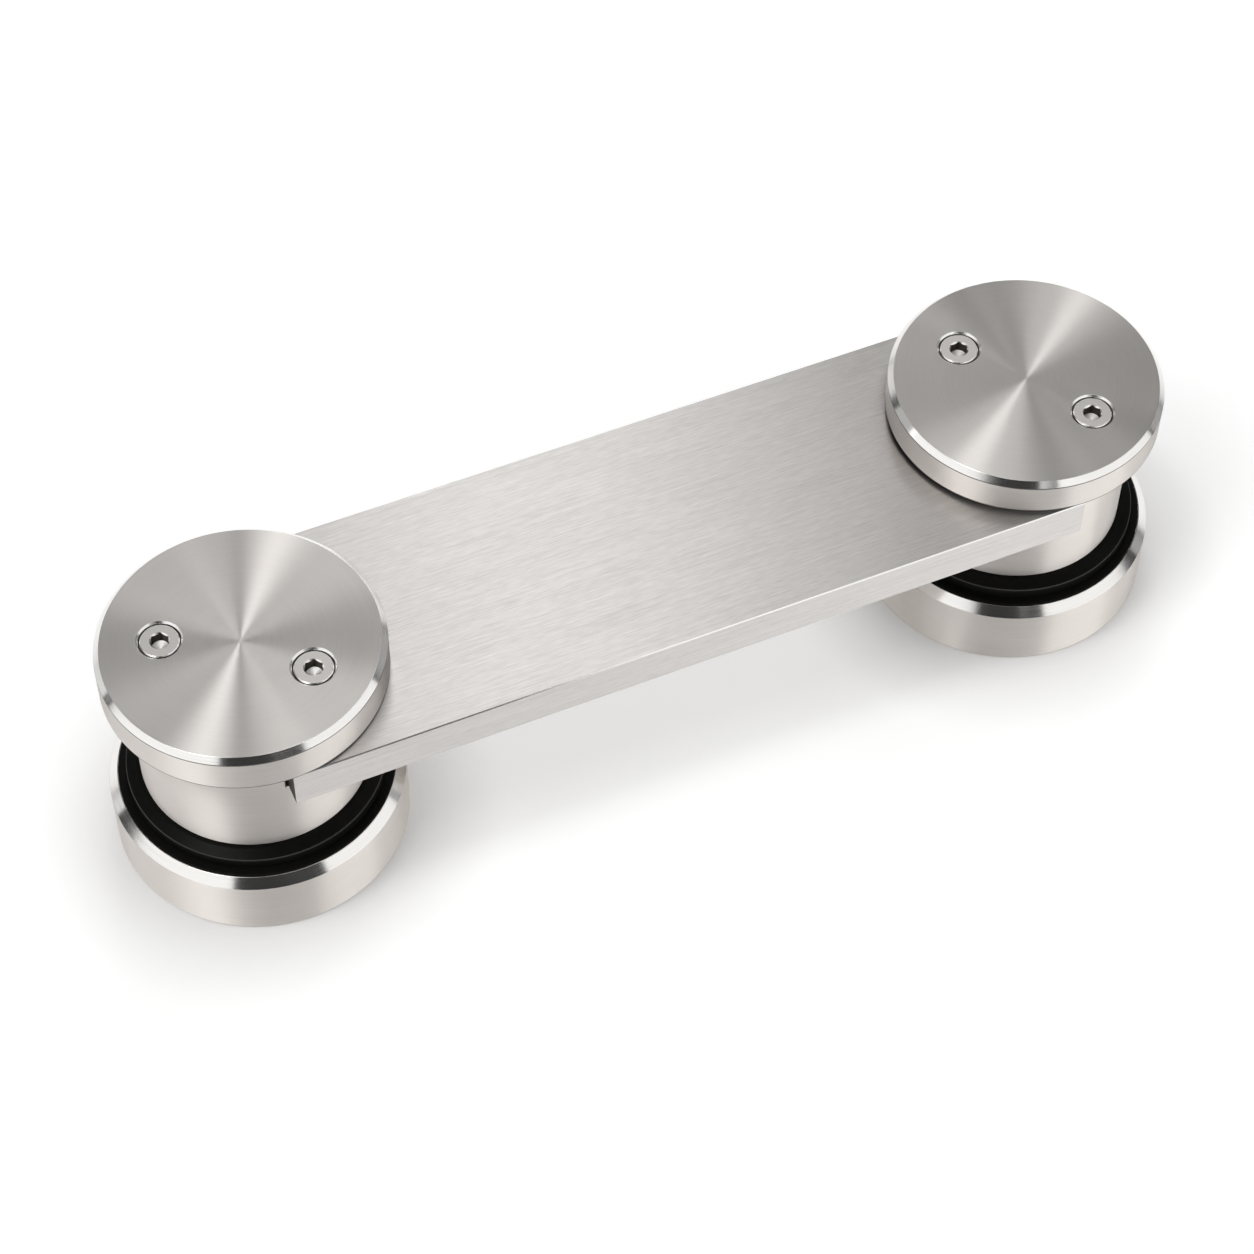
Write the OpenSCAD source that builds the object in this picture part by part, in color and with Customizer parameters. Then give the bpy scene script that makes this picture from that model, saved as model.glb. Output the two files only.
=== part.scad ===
// Glass panel connector: a flat bar joins two round clamps, each of which grips one glass panel.
// Millimetres, Z up. The part stands on its two clamp discs, with the bar along X.

/* [Bar] */
// distance between the axes of the two clamps
axis_distance = 150; // [110:1:300]
// width of the bar
bar_w = 49; // [44:0.5:60]
// thickness of the bar
bar_t = 8; // [5:0.5:14]
// broken edge along the bar
bar_edge = 0.2; // [0.1:0.05:1]

/* [Cap] */
// diameter of the cap
cap_d = 50; // [46:0.5:70]
// thickness of the cap
cap_t = 8; // [6.5:0.5:14]
// chamfer round the top of the cap
cap_chamfer = 1; // [0.3:0.1:2]
// broken edge round the underside of the cap
cap_edge = 0.5; // [0.1:0.05:0.8]

/* [Cap screws] */
// diameter of the circle on which the cap screws stand
screw_circle_d = 27.5; // [25:0.5:31]
// angle of the left screw that bites into the boss's shoulder
left_shoulder_angle = 156; // [120:1:240]
// angle of the left screw that passes through the bar
left_bar_angle = -46; // [-60:1:60]
// angle of the right screw that bites into the boss's shoulder
right_shoulder_angle = -58; // [-60:1:60]
// angle of the right screw that passes through the bar
right_bar_angle = 125; // [120:1:240]
// thread diameter of the cap screws
screw_d = 4; // [3:0.5:5]
// diameter of the screw head
head_d = 7; // [6:0.1:9]
// height of the screw head
head_h = 4; // [2.6:0.1:5]
// broken edge round the top of the screw head
head_edge = 0.2; // [0.1:0.05:0.6]
// width across the flats of the hexagon socket
socket_af = 3; // [2:0.5:4]
// depth of the hexagon socket
socket_depth = 2; // [1:0.1:2.4]
// depth of the screw head below the top of the cap
head_sink = 0.2; // [0.05:0.05:1]
// length of thread that bites into the boss
screw_bite = 8.2; // [5:0.1:11]
// empty thread below the end of each screw
screw_end_gap = 1; // [0.2:0.1:2]
// gap round the screw head in its counterbore
head_gap = 0.2; // [0.1:0.05:0.5]
// chamfer round the mouth of the counterbore
counterbore_chamfer = 0.35; // [0.1:0.05:0.8]
// gap round the screw in the cap and in the bar
screw_gap = 0.25; // [0.1:0.05:0.5]

/* [Boss] */
// diameter of the boss
boss_d = 41; // [38:0.5:46]
// height of the boss below the bar
boss_h = 16; // [14:0.5:40]
// gap between the end of the bar and the shoulder of its seat
seat_gap = 0.6; // [0.1:0.05:1]
// broken edge round the bottom and the top of the boss
boss_edge = 0.2; // [0.1:0.05:0.8]

/* [Gaskets] */
// diameter of the upper gasket
upper_gasket_d = 46.2; // [43:0.1:49]
// thickness of the upper gasket
upper_gasket_t = 3.2; // [2:0.1:6]
// width of the sloping shoulder of the upper gasket
gasket_slope_w = 1.9; // [0.5:0.1:3]
// drop of the sloping shoulder of the upper gasket
gasket_slope_h = 0.9; // [0.3:0.1:1.5]
// gap between the bush and the hole in the upper gasket
upper_gasket_gap = 0.4; // [0.1:0.1:2]
// diameter of the lower gasket
lower_gasket_d = 49.4; // [48:0.1:50.5]
// thickness of the lower gasket
lower_gasket_t = 2.8; // [1.5:0.1:5]
// broken edge round the top of the lower gasket
lower_gasket_edge = 0.2; // [0.1:0.05:0.5]
// gap between the bush and the hole in the lower gasket
lower_gasket_gap = 1; // [0.4:0.1:2]

/* [Clamp disc] */
// diameter of the clamp disc
disc_d = 53; // [52:0.5:70]
// height of the clamp disc
disc_h = 14; // [12:0.5:30]
// chamfer round the top of the clamp disc
disc_chamfer = 1.6; // [0.5:0.05:1.8]
// broken edge round the bottom of the clamp disc
disc_edge = 0.4; // [0.1:0.1:1]
// depth of the recess that holds the lower gasket
recess_depth = 2.5; // [1:0.1:4]
// gap round the lower gasket in its recess
recess_gap = 0.05; // [0.02:0.01:0.1]
// diameter of the circle of the two spanner holes
spanner_circle_d = 36; // [30:0.5:44]
// diameter of the spanner holes
spanner_hole_d = 5; // [3:0.5:6]
// depth of the spanner holes
spanner_hole_depth = 5; // [3:0.5:6]

/* [Stud and bush] */
// thread diameter of the stud
stud_d = 10; // [8:0.5:12]
// broken edge at both ends of the stud
stud_edge = 0.8; // [0.3:0.1:1.5]
// floor of the clamp disc below the stud
stud_floor = 2.8; // [2:0.1:4]
// gap round the stud in the thread of the boss
thread_gap = 0.05; // [0.02:0.01:0.1]
// floor of metal between the stud's bore and the bar
bore_floor = 1; // [0.5:0.1:3]
// empty bore above the end of the stud
stud_end_gap = 0.5; // [0.2:0.1:2]
// outer diameter of the bush
bush_d = 16; // [14:0.5:20]
// gap round the stud in the bush
bush_stud_gap = 0.4; // [0.3:0.05:1]
// depth of the bush in the boss
bush_seat = 1; // [0.5:0.1:3]
// reach of the bush into the hole of a glass panel
bush_reach = 5; // [3:0.1:6]
// broken edge at the free end of the bush
bush_edge = 0.5; // [0.2:0.1:1]
// gap round the bush in the pocket of the clamp disc
pocket_gap = 0.6; // [0.3:0.1:1.5]
// gap below the bush in the pocket of the clamp disc
pocket_end_gap = 0.5; // [0.2:0.1:2]

/* [Hidden] */
left = -1;
right = 1;
axis_x = axis_distance / 2;
// heights from the floor up
recess_z = disc_h - recess_depth;
clamp_z = recess_z + lower_gasket_t;
boss_z = clamp_z + upper_gasket_t;
seat_z = boss_z + boss_h;
cap_z = seat_z + bar_t;
top_z = cap_z + cap_t;
head_top_z = top_z - head_sink;
head_z = head_top_z - head_h;
bore_top_z = seat_z - bore_floor;
stud_top_z = bore_top_z - stud_end_gap;
bush_z = clamp_z - bush_reach;
bush_top_z = boss_z + bush_seat;
pocket_z = bush_z - pocket_end_gap;
// radii
cap_r = cap_d / 2;
boss_r = boss_d / 2;
disc_r = disc_d / 2;
bush_r = bush_d / 2;
stud_r = stud_d / 2;
screw_r = screw_d / 2;
head_r = head_d / 2;
upper_gasket_r = upper_gasket_d / 2;
lower_gasket_r = lower_gasket_d / 2;
counterbore_r = head_r + head_gap;
// sides of a hexagon, and its width across the corners
hexagon = 6;
socket_d = socket_af / cos(180 / hexagon);
// run of a cutting tool past the face that it opens
cut = 1;
$fn = 96;

steel = [0.74, 0.73, 0.71];
screw_steel = [0.8, 0.8, 0.79];
black_rubber = [0.04, 0.04, 0.04];
white_plastic = [0.9, 0.9, 0.87];

// Stands a piece on the axis of one clamp.
module on_axis(side) {
    translate([side * axis_x, 0, 0]) children();
}

// Stands a piece at one cap screw.
module at_screw(angle) {
    rotate([0, 0, angle]) translate([screw_circle_d / 2, 0, 0]) children();
}

// A round bar, or the hole for one, between two heights.
module rod(r, z0, z1) {
    translate([0, 0, z0]) cylinder(r = r, h = z1 - z0);
}

// A turned piece with a broken edge at its bottom and at its top.
module turned(r, z0, z1, low_edge, high_edge) {
    rotate_extrude() polygon([
        [0, z0], [r - low_edge, z0], [r, z0 + low_edge],
        [r, z1 - high_edge], [r - high_edge, z1], [0, z1]
    ]);
}

// The bar's outline from its end, with four broken edges.
module bar_section() {
    half = bar_w / 2;
    polygon([
        [-half + bar_edge, seat_z], [half - bar_edge, seat_z],
        [half, seat_z + bar_edge], [half, cap_z - bar_edge],
        [half - bar_edge, cap_z], [-half + bar_edge, cap_z],
        [-half, cap_z - bar_edge], [-half, seat_z + bar_edge]
    ]);
}

// The plain hole of one cap screw.
module screw_hole(z0, z1) {
    rod(screw_r + screw_gap, z0 - cut, z1 + cut);
}

// The stepped hole of one cap screw in its cap, chamfered at its mouth.
module counterbore() {
    screw_hole(cap_z, head_z);
    rod(counterbore_r, head_z, top_z + cut);
    translate([0, 0, top_z - counterbore_chamfer])
        cylinder(r1 = counterbore_r, r2 = counterbore_r + counterbore_chamfer + cut, h = counterbore_chamfer + cut);
}

// A cap: a chamfered round plate with two sunk screw holes.
module cap(side, shoulder_angle, bar_angle) {
    color(steel) on_axis(side) difference() {
        turned(cap_r, cap_z, top_z, cap_edge, cap_chamfer);
        at_screw(shoulder_angle) counterbore();
        at_screw(bar_angle) counterbore();
    }
}

// A socket head screw that bites into the metal below a given height.
module cap_screw(side, angle, bite_z) {
    color(screw_steel) on_axis(side) at_screw(angle) difference() {
        union() {
            rotate_extrude() polygon([
                [0, head_z], [head_r, head_z], [head_r, head_top_z - head_edge],
                [head_r - head_edge, head_top_z], [0, head_top_z]
            ]);
            rod(screw_r, bite_z - screw_bite, head_z + head_h / 2);
        }
        translate([0, 0, head_top_z - socket_depth])
            cylinder(d = socket_d, h = socket_depth + cut, $fn = hexagon);
    }
}

// The milled seat that takes the end of the bar and leaves a shoulder on the far side of the axis.
module bar_seat(side) {
    reach = boss_r + cut;
    low_x = side == left ? -seat_gap : -reach;
    translate([low_x, -reach, seat_z]) cube([reach + seat_gap, 2 * reach, bar_t + cut]);
}

// The threaded hole of one cap screw, down from a given height.
module screw_thread(from_z) {
    rod(screw_r, from_z - screw_bite - screw_end_gap, from_z + cut);
}

// A boss: a round standoff with half of its top milled down for the bar.
module boss(side, shoulder_angle, bar_angle) {
    color(steel) on_axis(side) difference() {
        turned(boss_r, boss_z, cap_z, boss_edge, boss_edge);
        bar_seat(side);
        at_screw(shoulder_angle) screw_thread(cap_z);
        at_screw(bar_angle) screw_thread(seat_z);
        rod(stud_r + thread_gap, boss_z - cut, bore_top_z);
        rod(bush_r, boss_z - cut, bush_top_z);
    }
}

// A bush: the sleeve that keeps the glass off the stud.
module bush(side) {
    bore_r = stud_r + bush_stud_gap;
    color(white_plastic) on_axis(side) rotate_extrude() polygon([
        [bore_r, bush_z], [bush_r - bush_edge, bush_z], [bush_r, bush_z + bush_edge],
        [bush_r, bush_top_z], [bore_r, bush_top_z]
    ]);
}

// An upper gasket: a rubber washer under the boss, sloped round its rim.
module upper_gasket(side) {
    hole_r = bush_r + upper_gasket_gap;
    color(black_rubber) on_axis(side) rotate_extrude() polygon([
        [hole_r, clamp_z], [upper_gasket_r, clamp_z], [upper_gasket_r, boss_z - gasket_slope_h],
        [upper_gasket_r - gasket_slope_w, boss_z], [hole_r, boss_z]
    ]);
}

// A lower gasket: a rubber washer in the recess of the clamp disc.
module lower_gasket(side) {
    hole_r = bush_r + lower_gasket_gap;
    color(black_rubber) on_axis(side) rotate_extrude() polygon([
        [hole_r, recess_z], [lower_gasket_r, recess_z], [lower_gasket_r, clamp_z - lower_gasket_edge],
        [lower_gasket_r - lower_gasket_edge, clamp_z], [hole_r, clamp_z]
    ]);
}

// The two holes for a pin spanner under the clamp disc.
module spanner_holes() {
    for (turn = [0, 180])
        rotate([0, 0, turn]) translate([spanner_circle_d / 2, 0, 0])
            rod(spanner_hole_d / 2, -cut, spanner_hole_depth);
}

// A clamp disc: recessed for the gasket, with a pocket for the bush and a blind hole for the stud.
module clamp_disc(side) {
    color(steel) on_axis(side) difference() {
        turned(disc_r, 0, disc_h, disc_edge, disc_chamfer);
        rod(lower_gasket_r + recess_gap, recess_z, disc_h + cut);
        rod(bush_r + pocket_gap, pocket_z, disc_h + cut);
        rod(stud_r, stud_floor, disc_h + cut);
        spanner_holes();
    }
}

// A stud: fixed in the clamp disc, it screws up into the boss.
module stud(side) {
    color(screw_steel) on_axis(side) turned(stud_r, stud_floor, stud_top_z, stud_edge, stud_edge);
}

module connecting_bar() {
    color(steel) difference() {
        translate([-axis_x, 0, 0]) rotate([90, 0, 90]) linear_extrude(axis_distance) bar_section();
        on_axis(left) at_screw(left_bar_angle) screw_hole(seat_z, cap_z);
        on_axis(right) at_screw(right_bar_angle) screw_hole(seat_z, cap_z);
    }
}

module left_cap() { cap(left, left_shoulder_angle, left_bar_angle); }
module left_shoulder_screw() { cap_screw(left, left_shoulder_angle, cap_z); }
module left_bar_screw() { cap_screw(left, left_bar_angle, seat_z); }
module left_boss() { boss(left, left_shoulder_angle, left_bar_angle); }
module left_bush() { bush(left); }
module left_upper_gasket() { upper_gasket(left); }
module left_lower_gasket() { lower_gasket(left); }
module left_clamp_disc() { clamp_disc(left); }
module left_stud() { stud(left); }
module right_cap() { cap(right, right_shoulder_angle, right_bar_angle); }
module right_shoulder_screw() { cap_screw(right, right_shoulder_angle, cap_z); }
module right_bar_screw() { cap_screw(right, right_bar_angle, seat_z); }
module right_boss() { boss(right, right_shoulder_angle, right_bar_angle); }
module right_bush() { bush(right); }
module right_upper_gasket() { upper_gasket(right); }
module right_lower_gasket() { lower_gasket(right); }
module right_clamp_disc() { clamp_disc(right); }
module right_stud() { stud(right); }

connecting_bar();
left_cap();
left_shoulder_screw();
left_bar_screw();
left_boss();
left_bush();
left_upper_gasket();
left_lower_gasket();
left_clamp_disc();
left_stud();
right_cap();
right_shoulder_screw();
right_bar_screw();
right_boss();
right_bush();
right_upper_gasket();
right_lower_gasket();
right_clamp_disc();
right_stud();
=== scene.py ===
"""Looks of the glass panel connector: finishes, fine pieces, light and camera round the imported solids."""
import math

import bpy
from mathutils import Matrix, Vector
from mathutils.geometry import tessellate_polygon


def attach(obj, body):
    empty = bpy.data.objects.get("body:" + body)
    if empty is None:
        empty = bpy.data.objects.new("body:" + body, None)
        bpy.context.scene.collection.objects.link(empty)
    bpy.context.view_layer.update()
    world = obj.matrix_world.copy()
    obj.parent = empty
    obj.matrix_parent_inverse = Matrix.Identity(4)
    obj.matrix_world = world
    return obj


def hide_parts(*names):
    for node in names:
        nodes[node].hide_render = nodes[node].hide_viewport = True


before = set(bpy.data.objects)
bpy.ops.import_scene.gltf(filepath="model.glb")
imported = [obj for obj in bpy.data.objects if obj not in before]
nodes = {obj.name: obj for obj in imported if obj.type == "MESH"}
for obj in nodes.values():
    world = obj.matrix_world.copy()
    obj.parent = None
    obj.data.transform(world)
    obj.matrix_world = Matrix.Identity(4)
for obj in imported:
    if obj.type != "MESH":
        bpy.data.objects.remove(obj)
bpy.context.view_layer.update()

# Sizes in millimetres and angles in degrees
MM = 0.001
SIDES = {"left": -1, "right": 1}
AXIS_X = 75
TOP_Z = 49.5
CAP_Z = 41.5
SEAT_Z = 33.5
BOSS_Z = 17.5
CLAMP_Z = 14.3
RECESS_Z = 11.5
POCKET_Z = 8.8
CAP_R = 25
CAP_CHAMFER = 1
CAP_GAP = {"left": 0.4, "right": 0.9}
CAP_REBATE = 1.0
BOSS_R = 20.5
SCREW_CIRCLE_R = 13.75
SCREW_ANGLES = {
    "left": {"shoulder": 156, "bar": -46},
    "right": {"shoulder": -58, "bar": 125},
}
SCREW_R = 2
SCREW_HOLE_R = 2.25
SCREW_BITE = 8.2
SCREW_PITCH = 0.7
SCREW_TIP = 0.3
SCREW_NECK = 2
HEAD_R = 3.5
HEAD_TOP_Z = 49.3
HEAD_Z = 45.3
HEAD_EDGE = 0.2
SOCKET_AF = 3
SOCKET_DEPTH = 2
SOCKET_MOUTH_R = 1.76
SOCKET_POINT = 0.5
SOCKET_TURN = 6.9
COUNTERBORE_R = 3.7
COUNTERBORE_CHAMFER = 0.35
UPPER_GASKET_R = 23.1
UPPER_GASKET_HOLE_R = 8.4
GASKET_SLOPE_W = 1.9
GASKET_SLOPE_H = 0.9
GASKET_SOFT = 0.2
LOWER_GASKET_R = 24.7
LOWER_GASKET_HOLE_R = 9
LOWER_GASKET_EDGE = 0.2
DISC_R = 26.5
DISC_H = 14
DISC_CHAMFER = 1.6
DISC_EDGE = 0.4
RECESS_R = 24.75
POCKET_R = 8.6
SPANNER_CIRCLE_R = 18
SPANNER_R = 2.5
SPANNER_DEPTH = 5
STUD_R = 5
STUD_FLOOR = 2.8
STUD_TOP_Z = 32
STUD_EDGE = 0.8
STUD_PITCH = 1.5

# Shape of a thread: shares of its pitch and the slope of a flank
THREAD_DEPTH = 0.6
THREAD_ROOT = 0.12
THREAD_SOFT = 0.03
THREAD_FLANK = math.pi / 6

# Fineness and edges of the round pieces
ROUND_STEPS = 192
HOLE_STEPS = 72
HEXAGON_SIDES = 6
FILLET_STEPS = 5
STRAIGHT_TURN = 1e-6
RIM = 0.4
PLACE_DIGITS = 6
NORMAL_DIGITS = 2
CRISP = 0.06
BROKEN = 0.14
# Height of the near-black bands painted as shade under a cap's chamfer and above its bottom edge
SHADE_LINE_HEIGHT = 0.2


# Round pieces
class Skin:
    """Faces of one piece in millimetres, each point with the exact normal of the surface there."""

    def __init__(self):
        self.points = []
        self.normals = []
        self.faces = []
        self.finishes = []
        self.known = {}

    def point(self, place, normal):
        place = tuple(round(part, PLACE_DIGITS) for part in place)
        key = place + tuple(round(part, NORMAL_DIGITS) for part in normal)
        if key not in self.known:
            self.known[key] = len(self.points)
            self.points.append(place)
            self.normals.append(normal)
        return self.known[key]

    def face(self, corners, finish):
        """Adds a face, leaving out the corners that fall on an earlier one."""
        kept = {}
        for corner in corners:
            kept.setdefault(self.points[corner], corner)
        if len(kept) > 2:
            self.faces.append(list(kept.values()))
            self.finishes.append(finish)

    def strip(self, first, second, finish):
        """Joins two closed rings of points, the second one further along the profile."""
        count = len(first)
        for i in range(count):
            after = (i + 1) % count
            self.face((first[i], second[i], second[after], first[after]), finish)

    def lathe(self, corners, steps, centre=(0, 0), start=0):
        """Revolves a profile of (radius, height, fillet, finish from here on) about an upright axis."""
        last_ring, last_finish = None, None
        for r, z, out, up, finish in rounded(corners):
            ring = []
            for i in range(steps):
                cos, sin = heading(i, steps, start)
                place = (centre[0] + r * cos, centre[1] + r * sin, z)
                ring.append(self.point(place, (out * cos, out * sin, up)))
            if last_ring:
                self.strip(last_ring, ring, last_finish)
            last_ring, last_finish = ring, finish

    def plate(self, z, up, outer, holes, finish):
        """A flat face between an outer circle and round holes, each given as (x, y, radius, steps)."""
        loops = [circle(z, *outer)] + [circle(z, *hole) for hole in holes]
        places = [place for loop in loops for place in loop]
        for triangle in tessellate_polygon([[Vector(place) for place in loop] for loop in loops]):
            first, second, third = (Vector(places[i]) for i in triangle)
            facing = (second - first).cross(third - first).z
            order = triangle if facing * up > 0 else triangle[::-1]
            self.face([self.point(places[i], (0, 0, up)) for i in order], finish)

    def thread(self, tooth, pitch, low_z, turns, steps, start=0):
        """Winds one tooth of a profile up a closed surface, fading it in and out at the ends."""
        profile = list(rounded(tooth))
        core_r, _, _, finish = tooth[0]
        heights = [z for _, z, _, _, _ in profile]
        total = turns * steps
        last_z = low_z + pitch * turns
        rows = []
        for i in range(total + 1):
            fade = min(1, 2 * i / steps, 2 * (total - i) / steps)
            cos, sin = heading(i, steps, start)
            row = []
            for r, z, out, up, _ in profile:
                near = core_r + (r - core_r) * fade
                place = (near * cos, near * sin, low_z + pitch * i / steps + z)
                row.append(self.point(place, (out * cos, out * sin, up)))
            rows.append(row)
        for row, after in zip(rows, rows[1:]):
            for i in range(len(profile) - 1):
                self.face((row[i], row[i + 1], after[i + 1], after[i]), finish)

        def core(i, z):
            cos, sin = heading(i, steps, start)
            return self.point((core_r * cos, core_r * sin, z), (cos, sin, 0))

        # A band of the core at each end turns the sloping edge into a flat ring
        for i in range(steps):
            here, there = pitch * i / steps, pitch * (i + 1) / steps
            run_in = [core(0, low_z + z) for z in reversed(heights)] if i + 1 == steps else []
            run_out = [core(0, last_z + z) for z in heights] if i == 0 else []
            foot = [core(i, low_z + here), core(i, low_z), core(i + 1, low_z)]
            head = [core(i, last_z + here), core(i + 1, last_z + there), core(i + 1, last_z + pitch)]
            self.face(foot + run_in + [core(i + 1, low_z + there)], finish)
            self.face([core(i, last_z + pitch)] + run_out + head, finish)

    def build(self, name, materials, centre=(0, 0)):
        mesh = bpy.data.meshes.new(name)
        mesh.from_pydata([tuple(part * MM for part in place) for place in self.points], [], self.faces)
        for material in materials:
            mesh.materials.append(material)
        mesh.polygons.foreach_set("material_index", self.finishes)
        mesh.polygons.foreach_set("use_smooth", [True] * len(self.faces))
        mesh.normals_split_custom_set_from_vertices(self.normals)
        piece = bpy.data.objects.new(name, mesh)
        piece.location = (centre[0] * MM, centre[1] * MM, 0)
        bpy.context.scene.collection.objects.link(piece)
        return piece


def heading(i, steps, start=0):
    """Cosine and sine of one of the steps round a circle."""
    angle = start + 2 * math.pi * (i % steps) / steps
    return math.cos(angle), math.sin(angle)


def circle(z, x, y, r, steps):
    """Points of a circle at one height."""
    ways = [heading(i, steps) for i in range(steps)]
    return [(x + r * cos, y + r * sin, z) for cos, sin in ways]


def rounded(corners):
    """Yields (radius, height, normal, finish) along a profile, each corner turned on its own fillet."""
    spots = [Vector(corner[:2]) for corner in corners]
    ways = [(there - here).normalized() for here, there in zip(spots, spots[1:])]
    for i, (r, z, fillet, finish) in enumerate(corners):
        before = ways[max(i - 1, 0)]
        after = ways[min(i, len(ways) - 1)]
        turn = math.atan2(before.x * after.y - before.y * after.x, before.dot(after))
        if abs(turn) < STRAIGHT_TURN:
            yield r, z, -after.y, after.x, finish
            continue
        start = spots[i] - before * fillet * math.tan(abs(turn) / 2)
        bulge = 1 if turn < 0 else -1
        outward = Vector((-before.y, before.x))
        hub = start - outward * fillet * bulge
        for step in range(FILLET_STEPS + 1):
            swing = turn * step / FILLET_STEPS
            cos, sin = math.cos(swing), math.sin(swing)
            normal = Vector((outward.x * cos - outward.y * sin, outward.x * sin + outward.y * cos))
            place = hub + normal * fillet * bulge
            yield place.x, place.y, normal.x, normal.y, finish


def settle(piece, node, body):
    """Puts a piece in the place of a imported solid."""
    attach(piece, body)
    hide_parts(node)


def place_on_circle(r, angle):
    """The point of a circle at an angle in degrees."""
    turn = math.radians(angle)
    return r * math.cos(turn), r * math.sin(turn)


# Camera
# The place and the axes were solved from the photograph's edges.
CAMERA_PLACE = Vector((-0.14933, -0.32842, 0.49846))
CAMERA_RIGHT = Vector((0.917577, -0.397494, 0.007110))
CAMERA_BACK = Vector((-0.242570, -0.545601, 0.802172))
FOCAL_PIXELS = 3288.65
PHOTO_PIXELS = 1254
SENSOR_MM = 36.0
CAMERA_NEAR = 0.01


def add_camera():
    data = bpy.data.cameras.new("camera")
    data.sensor_width = SENSOR_MM
    data.lens = SENSOR_MM * FOCAL_PIXELS / PHOTO_PIXELS
    data.clip_start = CAMERA_NEAR
    camera = bpy.data.objects.new("camera", data)
    up = CAMERA_BACK.cross(CAMERA_RIGHT)
    turn = Matrix((CAMERA_RIGHT, up, CAMERA_BACK)).transposed().to_4x4()
    camera.matrix_world = Matrix.Translation(CAMERA_PLACE) @ turn
    bpy.context.scene.collection.objects.link(camera)
    bpy.context.scene.camera = camera


# Colours and sheens of the materials
STEEL_DARK = (0.63, 0.603, 0.578, 1)
STEEL_LIGHT = (0.665, 0.638, 0.613, 1)
HAIRLINE_DARK = (0.56, 0.538, 0.52, 1)
HAIRLINE_LIGHT = (0.725, 0.703, 0.685, 1)
# Painted light: the bar's sides are a lighter copy of its top's steel, painted to look more brightly lit
LIT_SIDE_DARK = (0.6, 0.577, 0.557, 1)
LIT_SIDE_LIGHT = (0.75, 0.727, 0.707, 1)
# Painted light: the turned sides of caps, bosses and discs are a lighter copy of the caps' steel, painted to
# look more brightly lit
LIT_WALL_DARK = (0.79, 0.748, 0.708, 1)
LIT_WALL_LIGHT = (0.82, 0.778, 0.738, 1)
POLISHED_DARK = (0.82, 0.805, 0.785, 1)
POLISHED_LIGHT = (0.88, 0.865, 0.845, 1)
# Painted shade: the bar's end faces, in shade under the caps, are painted near black
END_SHADE_COLOUR = (0.05, 0.046, 0.042, 1)
# Painted shade: near-black steel for thin bands at the caps' edges, their rebates and their counterbore walls
SHADE_LINE_DARK = (0.09, 0.083, 0.077, 1)
SHADE_LINE_LIGHT = (0.13, 0.12, 0.11, 1)
# Painted shade: the walls inside the screws' hexagon sockets are painted near black
SOCKET_SHADE_DARK = (0.075, 0.066, 0.053, 1)
SOCKET_SHADE_LIGHT = (0.11, 0.097, 0.078, 1)
RUBBER_DARK = (0.004, 0.004, 0.004, 1)
RUBBER_LIGHT = (0.009, 0.009, 0.008, 1)
RUBBER_SHEEN = (0.3, 0.42)
RUBBER_SPECULAR = 0.06
# Painted highlight: a lighter rubber on the upper gasket's outer rim, for the thin bright line along it
RIM_HIGHLIGHT_DARK = (0.05, 0.049, 0.047, 1)
RIM_HIGHLIGHT_LIGHT = (0.07, 0.068, 0.066, 1)
PLASTIC_DARK = (0.74, 0.74, 0.7, 1)
PLASTIC_LIGHT = (0.8, 0.8, 0.77, 1)
PLASTIC_SHEEN = (0.4, 0.52)
PLASTIC_SPECULAR = 0.5
WHITE = (1, 1, 1, 1)

# Grain of the finishes: features in a metre, depths in metres
QUARTER_TURN = 0.25
BOX_MIDDLE = (0.5, 0.5, 0.5)
NOISE_LOW = 0.3
NOISE_HIGH = 0.7
FINE_DETAIL = 3
GRAIN_FADE = 0.6
RINGS_PER_METRE = 5500
RING_ARCS = 1.2
RING_LEAN = 0.7
RING_FADE = 0.7
RING_DEPTH = 0.25e-6
TURNED_SPREAD = 0.03
LONG_LINES = (45, 3400, 3400)
SHORT_LINES = (380, 3800, 3800)
LINE_SHARE = 0.5
HAIRLINE_DEPTH = 2e-6
FLAT_FACING = 0.75
EDGE_FACING = 0.3
EDGE_ROUGHNESS = 0.15
STEEL_GRAINS = 6000
STEEL_GRAIN_DEPTH = 1e-6
PLAIN_SPREAD = 0.04
MOULD_DETAIL = 4
MOULD_FADE = 0.62
RUBBER_GRAINS = 4000
RUBBER_GRAIN_DEPTH = 6e-6
PLASTIC_GRAINS = 900
PLASTIC_GRAIN_DEPTH = 3e-6


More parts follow.
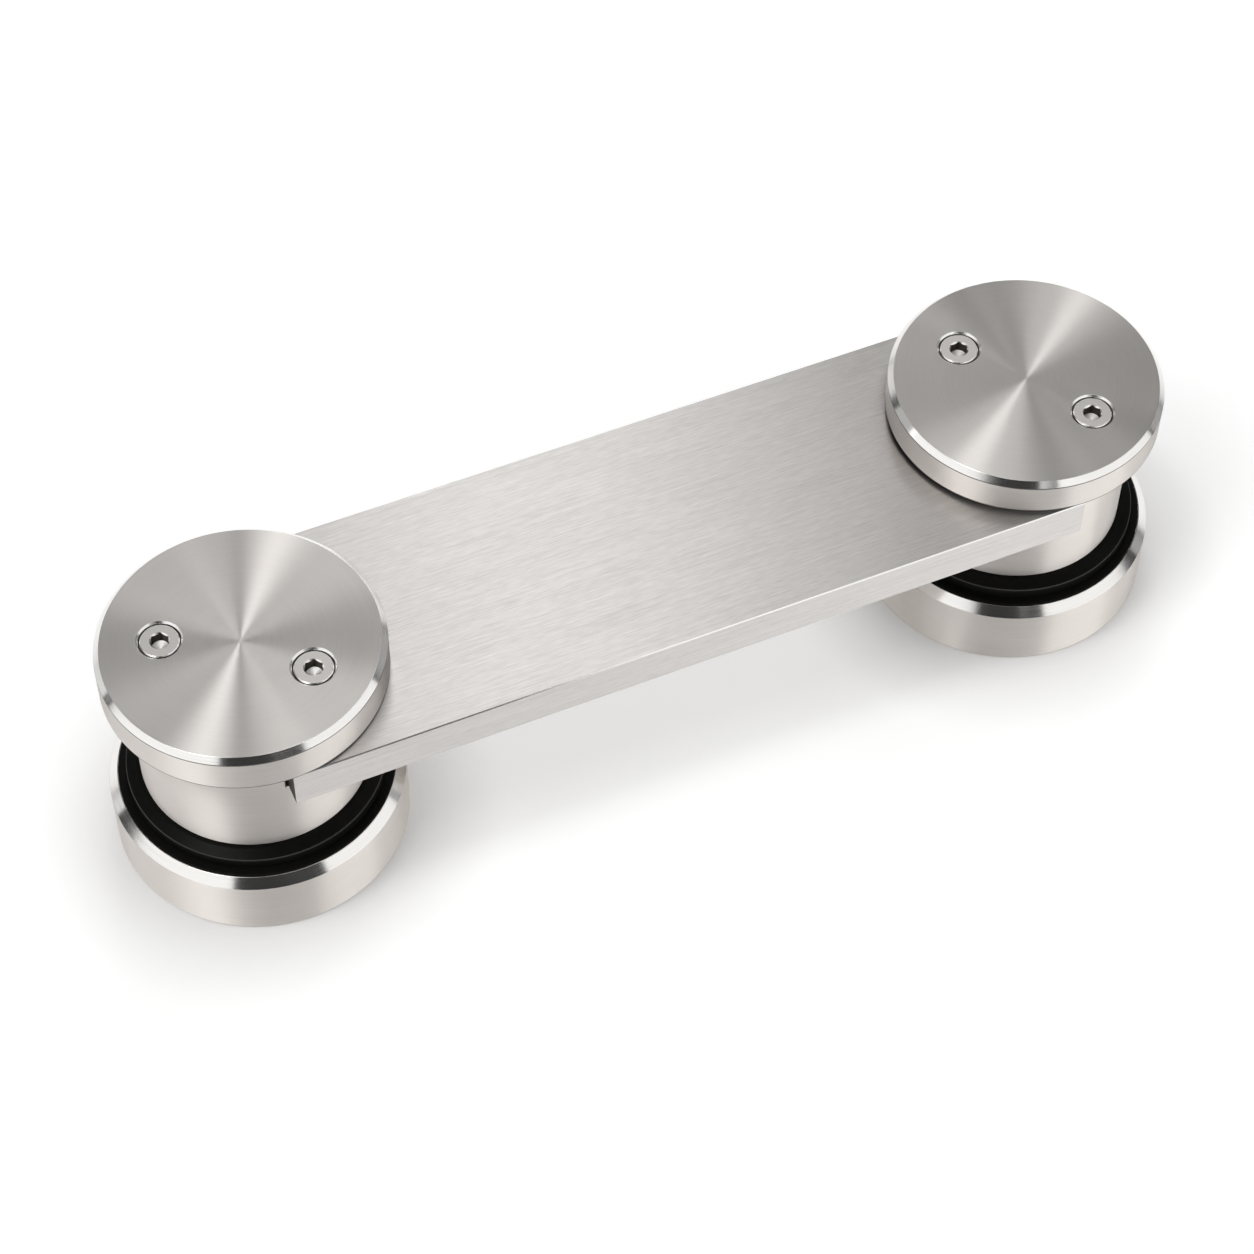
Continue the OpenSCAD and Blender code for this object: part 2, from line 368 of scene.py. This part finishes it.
class Tree:
    """A material's nodes, with short calls to add and join them."""

    def __init__(self, name, kind="ShaderNodeBsdfPrincipled"):
        self.material = bpy.data.materials.new(name)
        self.material.use_nodes = True
        self.nodes = self.material.node_tree.nodes
        self.links = self.material.node_tree.links
        self.nodes.clear()
        self.shader = self.add(kind)
        output = self.add("ShaderNodeOutputMaterial")
        self.links.new(self.shader.outputs[0], output.inputs["Surface"])

    def add(self, kind, **settings):
        node = self.nodes.new(kind)
        for key, value in settings.items():
            setattr(node, key, value)
        return node

    def put(self, socket, value):
        """Sets a socket to a number or colour, or joins it to another node's output."""
        if isinstance(value, bpy.types.NodeSocket):
            self.links.new(value, socket)
        else:
            socket.default_value = value

    def number(self, operation, first, second=0.0):
        node = self.add("ShaderNodeMath", operation=operation)
        self.put(node.inputs[0], first)
        self.put(node.inputs[1], second)
        return node.outputs["Value"]

    def vector(self, operation, first, second=None):
        node = self.add("ShaderNodeVectorMath", operation=operation)
        self.put(node.inputs[0], first)
        if second is not None:
            self.put(node.inputs[1], second)
        return node.outputs["Value" if operation == "LENGTH" else "Vector"]

    def combine(self, x, y, z):
        node = self.add("ShaderNodeCombineXYZ")
        for socket, value in zip(node.inputs, (x, y, z)):
            self.put(socket, value)
        return node.outputs["Vector"]

    def parts(self, vector):
        node = self.add("ShaderNodeSeparateXYZ")
        self.put(node.inputs["Vector"], vector)
        return [node.outputs[axis] for axis in "XYZ"]

    def even_grain(self, grains, detail, fade):
        """A grain of the same size in all directions."""
        place = self.add("ShaderNodeTexCoord")
        return self.noise(self.vector("MULTIPLY", place.outputs["Object"], (grains,) * 3), detail, fade)

    def noise(self, place, detail, roughness):
        node = self.add("ShaderNodeTexNoise")
        self.put(node.inputs["Vector"], place)
        node.inputs["Scale"].default_value = 1
        node.inputs["Detail"].default_value = detail
        node.inputs["Roughness"].default_value = roughness
        return node.outputs["Fac"]

    def spread(self, value, low, high):
        """Maps the middle of a noise to a range."""
        node = self.add("ShaderNodeMapRange")
        self.put(node.inputs["Value"], value)
        node.inputs["From Min"].default_value = NOISE_LOW
        node.inputs["From Max"].default_value = NOISE_HIGH
        node.inputs["To Min"].default_value = low
        node.inputs["To Max"].default_value = high
        return node.outputs["Result"]

    def tint(self, factor, low, high):
        node = self.add("ShaderNodeMix", data_type="RGBA")
        self.put(node.inputs["Factor"], factor)
        self.put(node.inputs["A"], low)
        self.put(node.inputs["B"], high)
        return node.outputs["Result"]

    def bump(self, height, distance):
        node = self.add("ShaderNodeBump")
        node.inputs["Strength"].default_value = 1
        node.inputs["Distance"].default_value = distance
        self.put(node.inputs["Height"], height)
        self.put(self.shader.inputs["Normal"], node.outputs["Normal"])

    def grain_along(self, axis, turn):
        tangent = self.add("ShaderNodeTangent", direction_type="RADIAL", axis=axis)
        self.put(self.shader.inputs["Tangent"], tangent.outputs["Tangent"])
        self.shader.inputs["Anisotropic Rotation"].default_value = turn


def metal(tree, colour, roughness, anisotropy, grain, depth):
    """Bare metal with a fine grain in its height."""
    shader = tree.shader
    shader.inputs["Metallic"].default_value = 1
    shader.inputs["Anisotropic"].default_value = anisotropy
    tree.put(shader.inputs["Base Color"], colour)
    tree.put(shader.inputs["Roughness"], roughness)
    tree.bump(grain, depth)
    return tree.material


def turned_steel(name, roughness, anisotropy, dark, light, size=None):
    """Steel turned on a lathe: fine rings round the piece's own upright axis.

    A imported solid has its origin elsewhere, so its size is given and the axis is the middle of its box.
    """
    tree = Tree(name)
    place = tree.add("ShaderNodeTexCoord")
    if size:
        centred = tree.vector("SUBTRACT", place.outputs["Generated"], BOX_MIDDLE)
        spot = tree.vector("MULTIPLY", centred, tuple(length * MM for length in size))
    else:
        spot = place.outputs["Object"]
    flat = tree.vector("MULTIPLY", spot, (1, 1, 0))
    across, over, _ = tree.parts(tree.vector("NORMALIZE", flat))
    _, _, height = tree.parts(spot)
    drop = tree.number("MULTIPLY", height, RING_LEAN)
    along = tree.number("SUBTRACT", tree.vector("LENGTH", flat), drop)
    rings = tree.combine(
        tree.number("MULTIPLY", along, RINGS_PER_METRE),
        tree.number("MULTIPLY", across, RING_ARCS),
        tree.number("MULTIPLY", over, RING_ARCS),
    )
    grain = tree.noise(rings, FINE_DETAIL, RING_FADE)
    tree.grain_along("Z", QUARTER_TURN)
    colour = tree.tint(tree.spread(grain, 0, 1), dark, light)
    sheen = tree.spread(grain, roughness + TURNED_SPREAD, roughness - TURNED_SPREAD)
    return metal(tree, colour, sheen, anisotropy, grain, RING_DEPTH)


def brushed_steel(name, roughness, anisotropy):
    """Steel brushed along X in hairlines of two lengths; its sides are painted lighter than the top as
    painted light, its edges are bright, and its ends are painted near black as painted shade.
    """
    tree = Tree(name)
    place = tree.add("ShaderNodeTexCoord")
    spot = place.outputs["Object"]
    lines = tree.noise(tree.vector("MULTIPLY", spot, LONG_LINES), FINE_DETAIL, GRAIN_FADE)
    dashes = tree.noise(tree.vector("MULTIPLY", spot, SHORT_LINES), FINE_DETAIL, GRAIN_FADE)
    grain = tree.number("MULTIPLY", tree.number("ADD", lines, dashes), LINE_SHARE)
    tree.grain_along("X", 0)
    normal = tree.parts(place.outputs["Normal"])
    facing_x, facing_y, facing_z = [tree.number("ABSOLUTE", part) for part in normal]
    # The end faces are painted near black as shade and the sides are painted lighter as light
    end = tree.number("GREATER_THAN", facing_x, FLAT_FACING)
    side = tree.number("GREATER_THAN", facing_y, FLAT_FACING)
    edge = tree.number("GREATER_THAN", tree.number("MULTIPLY", facing_y, facing_z), EDGE_FACING)
    share = tree.spread(grain, 0, 1)
    top_colour = tree.tint(share, HAIRLINE_DARK, HAIRLINE_LIGHT)
    lit_side_colour = tree.tint(share, LIT_SIDE_DARK, LIT_SIDE_LIGHT)
    colour = tree.tint(side, top_colour, lit_side_colour)
    colour = tree.tint(end, colour, END_SHADE_COLOUR)
    colour = tree.tint(edge, colour, POLISHED_LIGHT)
    sheen = tree.spread(grain, roughness + TURNED_SPREAD, roughness - TURNED_SPREAD)
    gloss = tree.number("MULTIPLY", edge, roughness - EDGE_ROUGHNESS)
    sheen = tree.number("SUBTRACT", sheen, gloss)
    return metal(tree, colour, sheen, anisotropy, grain, HAIRLINE_DEPTH)


def plain_steel(name, roughness, dark, light):
    """Machined steel with a fine even grain."""
    tree = Tree(name)
    grain = tree.even_grain(STEEL_GRAINS, FINE_DETAIL, GRAIN_FADE)
    colour = tree.tint(tree.spread(grain, 0, 1), dark, light)
    sheen = tree.spread(grain, roughness - PLAIN_SPREAD, roughness + PLAIN_SPREAD)
    return metal(tree, colour, sheen, 0, grain, STEEL_GRAIN_DEPTH)


def moulded(name, dark, light, sheen, grains, depth, specular):
    """Moulded rubber or plastic with a fine grain."""
    tree = Tree(name)
    grain = tree.even_grain(grains, MOULD_DETAIL, MOULD_FADE)
    tree.shader.inputs["Specular IOR Level"].default_value = specular
    tree.put(tree.shader.inputs["Base Color"], tree.tint(tree.spread(grain, 0, 1), dark, light))
    tree.put(tree.shader.inputs["Roughness"], tree.spread(grain, *sheen))
    tree.bump(grain, depth)
    return tree.material


BOSS_SIZE = (2 * BOSS_R, 2 * BOSS_R, CAP_Z - BOSS_Z)
RUBBER = (RUBBER_SHEEN, RUBBER_GRAINS, RUBBER_GRAIN_DEPTH, RUBBER_SPECULAR)
PLASTIC = (PLASTIC_SHEEN, PLASTIC_GRAINS, PLASTIC_GRAIN_DEPTH, PLASTIC_SPECULAR)
# The turned sides use the lighter steel painted as light
TURNED = {"roughness": 0.45, "anisotropy": 1.0, "dark": LIT_WALL_DARK, "light": LIT_WALL_LIGHT}
PLAIN = {"dark": STEEL_DARK, "light": STEEL_LIGHT}
POLISHED = {"dark": POLISHED_DARK, "light": POLISHED_LIGHT}
bar_steel = brushed_steel("bar_steel", roughness=0.4, anisotropy=0.85)
cap_steel = turned_steel("cap_steel", roughness=0.31, anisotropy=1.0, **PLAIN)
cap_side_steel = turned_steel("cap_side_steel", **TURNED)
chamfer_steel = turned_steel("chamfer_steel", roughness=0.13, anisotropy=0.3, **POLISHED)
boss_steel = turned_steel("boss_steel", **TURNED, size=BOSS_SIZE)
disc_steel = turned_steel("disc_steel", **TURNED)
stud_steel = turned_steel("stud_steel", roughness=0.3, anisotropy=0.5, **PLAIN)
# Painted shade on the caps' edge bands, rebates and counterbore walls
painted_shade_steel = plain_steel("painted_shade_steel", roughness=0.35, dark=SHADE_LINE_DARK, light=SHADE_LINE_LIGHT)
screw_steel = plain_steel("screw_steel", roughness=0.48, **PLAIN)
mouth_steel = plain_steel("mouth_steel", roughness=0.25, **POLISHED)
# Painted shade inside the hexagon sockets
socket_shade_steel = plain_steel("socket_shade_steel", roughness=0.45, dark=SOCKET_SHADE_DARK, light=SOCKET_SHADE_LIGHT)
drilled_steel = plain_steel("drilled_steel", roughness=0.55, **POLISHED)
gasket_rubber = moulded("gasket_rubber", RUBBER_DARK, RUBBER_LIGHT, *RUBBER)
# Painted highlight on the upper gasket's rim
rim_highlight_rubber = moulded("rim_highlight_rubber", RIM_HIGHLIGHT_DARK, RIM_HIGHLIGHT_LIGHT, *RUBBER)
bush_plastic = moulded("bush_plastic", PLASTIC_DARK, PLASTIC_LIGHT, *PLASTIC)


def paint(node, material):
    nodes[node].data.materials.clear()
    nodes[node].data.materials.append(material)


# Caps
def add_cap(side, sign):
    top, chamfer, wall, shade_line, mouth = 0, 1, 2, 3, 4
    skin = Skin()
    face_r = CAP_R - CAP_CHAMFER - RIM
    base_r = CAP_R - CAP_REBATE - RIM
    gap_z = CAP_Z + CAP_GAP[side]
    # Painted shade: a band under the chamfer, a band above the bottom edge and the rebate are near-black
    # steel
    skin.lathe([
        (face_r, TOP_Z, 0, top),
        (CAP_R - CAP_CHAMFER, TOP_Z, CRISP, chamfer),
        (CAP_R, TOP_Z - CAP_CHAMFER, CRISP, shade_line),
        (CAP_R, TOP_Z - CAP_CHAMFER - SHADE_LINE_HEIGHT, 0, wall),
        (CAP_R, gap_z + SHADE_LINE_HEIGHT, 0, shade_line),
        (CAP_R, gap_z, CRISP, shade_line),
        (CAP_R - CAP_REBATE, gap_z, CRISP, shade_line),
        (CAP_R - CAP_REBATE, CAP_Z, CRISP, wall),
        (base_r, CAP_Z, 0, wall),
    ], ROUND_STEPS)
    mouth_r = COUNTERBORE_R + COUNTERBORE_CHAMFER
    rim_r = mouth_r + CRISP
    holes = []
    floor_holes = []
    for angle in SCREW_ANGLES[side].values():
        x, y = place_on_circle(SCREW_CIRCLE_R, angle)
        skin.lathe([
            (SCREW_HOLE_R, CAP_Z, 0, wall),
            (SCREW_HOLE_R, HEAD_Z, CRISP, wall),
            # Painted shade: the counterbore's wall is near-black steel
            (COUNTERBORE_R, HEAD_Z, CRISP, shade_line),
            (COUNTERBORE_R, TOP_Z - COUNTERBORE_CHAMFER, CRISP, mouth),
            (mouth_r, TOP_Z, CRISP, top),
            (rim_r, TOP_Z, 0, top),
        ], HOLE_STEPS, (x, y))
        holes.append((x, y, rim_r, HOLE_STEPS))
        floor_holes.append((x, y, SCREW_HOLE_R, HOLE_STEPS))
    skin.plate(TOP_Z, 1, (0, 0, face_r, ROUND_STEPS), holes, top)
    skin.plate(CAP_Z, -1, (0, 0, base_r, ROUND_STEPS), floor_holes, wall)
    finishes = [cap_steel, chamfer_steel, cap_side_steel, painted_shade_steel, mouth_steel]
    cap = skin.build(side + "_turned_cap", finishes, (sign * AXIS_X, 0))
    settle(cap, side + "_cap", "frame")


# Cap screws
def hexagon_r(angle):
    """Distance from the axis to the socket's wall."""
    sixth = 2 * math.pi / HEXAGON_SIDES
    from_flat = (angle - math.radians(SOCKET_TURN)) % sixth - sixth / 2
    return SOCKET_AF / 2 / math.cos(from_flat)


def add_socket(skin, lead, wall, floor):
    """The hexagon with its round lead-in, six walls painted near black as shade, and drilled point."""
    flats = HEXAGON_SIDES
    per_flat = HOLE_STEPS // flats
    low_z = HEAD_TOP_Z - SOCKET_DEPTH
    bottom_r = SOCKET_AF / 2
    slope = math.sqrt(0.5)
    for flat in range(flats):
        facing = math.radians(SOCKET_TURN) + (flat + 0.5) * 2 * math.pi / flats
        inward = (-math.cos(facing), -math.sin(facing), 0)
        rows = {"mouth": [], "lip": [], "top": [], "foot": [], "shelf": [], "ring": []}
        for i in range(per_flat + 1):
            angle = facing + (i / per_flat - 0.5) * 2 * math.pi / flats
            cos, sin = math.cos(angle), math.sin(angle)
            wall_r = hexagon_r(angle) if 0 < i < per_flat else bottom_r / math.cos(math.pi / flats)
            lip_z = HEAD_TOP_Z - (SOCKET_MOUTH_R - wall_r)
            lean = (-slope * cos, -slope * sin, slope)
            mouth = (SOCKET_MOUTH_R * cos, SOCKET_MOUTH_R * sin, HEAD_TOP_Z)
            rows["mouth"].append(skin.point(mouth, lean))
            rows["lip"].append(skin.point((wall_r * cos, wall_r * sin, lip_z), lean))
            rows["top"].append(skin.point((wall_r * cos, wall_r * sin, lip_z), inward))
            rows["foot"].append(skin.point((wall_r * cos, wall_r * sin, low_z), inward))
            rows["shelf"].append(skin.point((wall_r * cos, wall_r * sin, low_z), (0, 0, 1)))
            rows["ring"].append(skin.point((bottom_r * cos, bottom_r * sin, low_z), (0, 0, 1)))
        bands = [("mouth", "lip", lead), ("top", "foot", wall), ("shelf", "ring", wall)]
        for upper, lower, finish in bands:
            above, below = rows[upper], rows[lower]
            for i in range(per_flat):
                skin.face((above[i], above[i + 1], below[i + 1], below[i]), finish)
    skin.lathe([
        (0, low_z - SOCKET_POINT, 0, floor),
        (bottom_r, low_z, 0, floor),
    ], flats * per_flat, start=math.radians(SOCKET_TURN))


def thread_tooth(r, pitch, finish):
    """One pitch of a sixty degree thread with a flat crest and root, from its highest point down."""
    depth = THREAD_DEPTH * pitch
    root = THREAD_ROOT * pitch
    rise = depth * math.tan(THREAD_FLANK)
    crest = pitch - 2 * root - 2 * rise
    soft = THREAD_SOFT * pitch
    return [
        (r - depth, pitch, 0, finish),
        (r - depth, pitch - root, soft, finish),
        (r, pitch - root - rise, soft, finish),
        (r, pitch - root - rise - crest, soft, finish),
        (r - depth, root, soft, finish),
        (r - depth, 0, 0, finish),
    ]


def whole_turns(low_z, high_z, pitch):
    """Turns of thread that fit between two heights, with one pitch left for the run-out."""
    return int((high_z - low_z) / pitch) - 1


def add_screw(side, sign, role):
    face, edge, wall, floor = 0, 1, 2, 3
    bite_z = CAP_Z if role == "shoulder" else SEAT_Z
    end_z = bite_z - SCREW_BITE
    neck_z = HEAD_Z - SCREW_NECK - SCREW_TIP
    low_z = end_z + 2 * SCREW_TIP
    tooth = thread_tooth(SCREW_R, SCREW_PITCH, face)
    core_r = tooth[0][0]
    turns = whole_turns(low_z, neck_z - SCREW_TIP, SCREW_PITCH)
    start = math.radians(SOCKET_TURN)
    skin = Skin()
    skin.lathe([
        (SOCKET_MOUTH_R, HEAD_TOP_Z, 0, face),
        (HEAD_R - HEAD_EDGE, HEAD_TOP_Z, CRISP, edge),
        (HEAD_R, HEAD_TOP_Z - HEAD_EDGE, CRISP, wall),
        (HEAD_R, HEAD_Z, CRISP, face),
        (SCREW_R, HEAD_Z, CRISP, face),
        (SCREW_R, HEAD_Z - SCREW_NECK, CRISP, face),
        (core_r, neck_z, CRISP, face),
        (core_r, low_z + SCREW_PITCH * (turns + 1), 0, face),
    ], HOLE_STEPS, start=start)
    skin.thread(tooth, SCREW_PITCH, low_z, turns, HOLE_STEPS, start)
    skin.lathe([
        (core_r, low_z, 0, face),
        (core_r, end_z + SCREW_TIP, CRISP, face),
        (core_r - SCREW_TIP, end_z, CRISP, face),
        (0, end_z, 0, face),
    ], HOLE_STEPS, start=start)
    add_socket(skin, edge, wall, floor)
    x, y = place_on_circle(SCREW_CIRCLE_R, SCREW_ANGLES[side][role])
    finishes = [screw_steel, mouth_steel, socket_shade_steel, drilled_steel]
    screw = skin.build(f"{side}_{role}_socket_screw", finishes, (sign * AXIS_X + x, y))
    settle(screw, f"{side}_{role}_screw", "frame")


# Gaskets
def add_gaskets(side, sign):
    black, rim_highlight = 0, 1
    upper = Skin()
    upper.lathe([
        (UPPER_GASKET_HOLE_R, CLAMP_Z, 0, black),
        (UPPER_GASKET_HOLE_R, BOSS_Z, GASKET_SOFT, black),
        (UPPER_GASKET_R - GASKET_SLOPE_W, BOSS_Z, GASKET_SOFT, black),
        # The rim's fillet is painted lighter as a highlight line
        (UPPER_GASKET_R, BOSS_Z - GASKET_SLOPE_H, GASKET_SOFT, rim_highlight),
        (UPPER_GASKET_R, BOSS_Z - GASKET_SLOPE_H - GASKET_SOFT, 0, black),
        (UPPER_GASKET_R, CLAMP_Z, GASKET_SOFT, black),
        (UPPER_GASKET_HOLE_R, CLAMP_Z, 0, black),
    ], ROUND_STEPS)
    ring = upper.build(side + "_moulded_upper_gasket", [gasket_rubber, rim_highlight_rubber], (sign * AXIS_X, 0))
    settle(ring, side + "_upper_gasket", "frame")
    lower = Skin()
    lower.lathe([
        (LOWER_GASKET_HOLE_R, RECESS_Z, 0, black),
        (LOWER_GASKET_HOLE_R, CLAMP_Z, GASKET_SOFT, black),
        (LOWER_GASKET_R, CLAMP_Z, LOWER_GASKET_EDGE, black),
        (LOWER_GASKET_R, RECESS_Z, GASKET_SOFT, black),
        (LOWER_GASKET_HOLE_R, RECESS_Z, 0, black),
    ], ROUND_STEPS)
    ring = lower.build(side + "_moulded_lower_gasket", [gasket_rubber], (sign * AXIS_X, 0))
    settle(ring, side + "_lower_gasket", side + "_pressure_seat")


# Clamp discs and studs
def add_disc(side, sign):
    wall, chamfer = 0, 1
    base_r = DISC_R - DISC_EDGE - RIM
    skin = Skin()
    skin.lathe([
        (0, STUD_FLOOR, 0, wall),
        (STUD_R, STUD_FLOOR, CRISP, wall),
        (STUD_R, POCKET_Z, CRISP, wall),
        (POCKET_R, POCKET_Z, CRISP, wall),
        (POCKET_R, RECESS_Z, CRISP, wall),
        (RECESS_R, RECESS_Z, CRISP, wall),
        (RECESS_R, DISC_H, CRISP, chamfer),
        (DISC_R - DISC_CHAMFER, DISC_H, CRISP, chamfer),
        (DISC_R, DISC_H - DISC_CHAMFER, BROKEN, wall),
        (DISC_R, DISC_EDGE, BROKEN, wall),
        (DISC_R - DISC_EDGE, 0, CRISP, wall),
        (base_r, 0, 0, wall),
    ], ROUND_STEPS)
    holes = []
    for x in (-SPANNER_CIRCLE_R, SPANNER_CIRCLE_R):
        mouth_r = SPANNER_R + RIM
        skin.lathe([
            (mouth_r, 0, 0, wall),
            (SPANNER_R, 0, BROKEN, wall),
            (SPANNER_R, SPANNER_DEPTH, BROKEN, wall),
            (0, SPANNER_DEPTH, 0, wall),
        ], HOLE_STEPS, (x, 0))
        holes.append((x, 0, mouth_r, HOLE_STEPS))
    skin.plate(0, -1, (0, 0, base_r, ROUND_STEPS), holes, wall)
    disc = skin.build(side + "_turned_disc", [disc_steel, chamfer_steel], (sign * AXIS_X, 0))
    settle(disc, side + "_clamp_disc", side + "_clamp")


def add_stud(side, sign):
    steel = 0
    tooth = thread_tooth(STUD_R, STUD_PITCH, steel)
    core_r = tooth[0][0]
    low_z = STUD_FLOOR + 2 * STUD_EDGE
    turns = whole_turns(low_z, STUD_TOP_Z - 2 * STUD_EDGE, STUD_PITCH)
    skin = Skin()
    skin.lathe([
        (0, STUD_TOP_Z, 0, steel),
        (core_r - STUD_EDGE, STUD_TOP_Z, CRISP, steel),
        (core_r, STUD_TOP_Z - STUD_EDGE, CRISP, steel),
        (core_r, low_z + STUD_PITCH * (turns + 1), 0, steel),
    ], HOLE_STEPS)
    skin.thread(tooth, STUD_PITCH, low_z, turns, HOLE_STEPS)
    skin.lathe([
        (core_r, low_z, 0, steel),
        (core_r, STUD_FLOOR + STUD_EDGE, CRISP, steel),
        (core_r - STUD_EDGE, STUD_FLOOR, CRISP, steel),
        (0, STUD_FLOOR, 0, steel),
    ], HOLE_STEPS)
    stud = skin.build(side + "_threaded_stud", [stud_steel], (sign * AXIS_X, 0))
    settle(stud, side + "_stud", side + "_clamp")


paint("connecting_bar", bar_steel)
for side, sign in SIDES.items():
    add_cap(side, sign)
    for role in SCREW_ANGLES[side]:
        add_screw(side, sign, role)
    add_gaskets(side, sign)
    add_disc(side, sign)
    add_stud(side, sign)
    paint(side + "_boss", boss_steel)
    paint(side + "_bush", bush_plastic)


# Floor and world
FLOOR_HALF = 2.5
FLOOR_CORNERS = [(-1, -1), (1, -1), (1, 1), (-1, 1)]
FLOOR_GLOW = 0.42
FLOOR_COLOUR = (0.8, 0.8, 0.8, 1)
CONTACT_REACH = 0.018
CONTACT_SAMPLES = 8
CONTACT_POWER = 2
WORLD_LEVEL = 0.04


def floor_material():
    """A pale floor with a glow for the camera and for reflections; for the camera the glow is dimmed near the
    part as a painted contact shadow.
    """
    tree = Tree("floor", "ShaderNodeAddShader")
    diffuse = tree.add("ShaderNodeBsdfDiffuse")
    diffuse.inputs["Color"].default_value = FLOOR_COLOUR
    path = tree.add("ShaderNodeLightPath").outputs
    either = tree.number("MAXIMUM", path["Is Camera Ray"], path["Is Glossy Ray"])
    seen = tree.number("MAXIMUM", either, path["Is Transmission Ray"])
    contact = tree.add("ShaderNodeAmbientOcclusion", samples=CONTACT_SAMPLES)
    contact.inputs["Distance"].default_value = CONTACT_REACH
    power = tree.number("MULTIPLY", path["Is Camera Ray"], CONTACT_POWER)
    shade = tree.number("POWER", contact.outputs["AO"], power)
    level = tree.number("MULTIPLY", seen, FLOOR_GLOW)
    glow = tree.add("ShaderNodeEmission")
    tree.put(glow.inputs["Strength"], tree.number("MULTIPLY", level, shade))
    tree.put(tree.shader.inputs[0], diffuse.outputs["BSDF"])
    tree.put(tree.shader.inputs[1], glow.outputs["Emission"])
    return tree.material


def add_floor():
    mesh = bpy.data.meshes.new("floor")
    corners = [(x * FLOOR_HALF, y * FLOOR_HALF, 0) for x, y in FLOOR_CORNERS]
    mesh.from_pydata(corners, [], [range(len(corners))])
    floor = bpy.data.objects.new("floor", mesh)
    bpy.context.scene.collection.objects.link(floor)
    mesh.materials.append(floor_material())


def add_world():
    world = bpy.data.worlds.new("world")
    bpy.context.scene.world = world
    world.use_nodes = True
    background = world.node_tree.nodes["Background"]
    background.inputs["Color"].default_value = WHITE
    background.inputs["Strength"].default_value = WORLD_LEVEL


# Soft boxes round the part: azimuth, elevation, distance, width, height and brightness
BOX_TARGET = Vector((0, 0, 0.03))
SOFT_BOXES = {
    "left_top": (180, 73, 1.2, 0.22, 0.30, 9.00),
    "left_high": (195, 59, 1.2, 0.41, 0.30, 7.40),
    "left_panel": (188.5, 28.3, 1.2, 1.60, 0.69, 1.05),
    "left_corner": (143, 18, 1.2, 0.45, 0.38, 0.45),
    "back_left": (126, 6, 1.2, 1.05, 0.25, 0.75),
    "back_low": (52, 11, 1.2, 0.55, 0.38, 4.40),
    "back": (75, 23, 1.2, 0.29, 0.64, 0.80),
    "back_top": (70, 52, 1.2, 0.26, 0.60, 2.30),
    "back_high": (54, 73, 1.2, 0.44, 0.30, 1.60),
    "zenith": (0, 88, 1.2, 0.30, 0.30, 3.40),
    "top_right": (22, 59, 1.2, 0.24, 0.30, 2.20),
    "right_back": (5, 8, 1.2, 0.70, 0.30, 0.35),
    "right_panel": (317.3, 28.8, 0.55, 0.63, 0.36, 1.00),
    "right_low": (300, 4, 1.2, 0.95, 0.16, 4.40),
    "front_top": (279, 45, 1.2, 0.53, 0.30, 0.75),
}


def add_soft_box(name, azimuth, elevation, distance, width, height, level):
    turn, rise = math.radians(azimuth), math.radians(elevation)
    way = Vector((math.cos(rise) * math.cos(turn), math.cos(rise) * math.sin(turn), math.sin(rise)))
    data = bpy.data.lights.new(name, "AREA")
    data.shape = "RECTANGLE"
    data.size = width
    data.size_y = height
    data.energy = level * math.pi * width * height
    box = bpy.data.objects.new(name, data)
    box.location = BOX_TARGET + way * distance
    box.rotation_mode = "QUATERNION"
    box.rotation_quaternion = (-way).to_track_quat("-Z", "Y")
    bpy.context.scene.collection.objects.link(box)


add_camera()
add_floor()
add_world()
for name, values in SOFT_BOXES.items():
    add_soft_box(name, *values)

bpy.context.scene.view_settings.view_transform = "Standard"
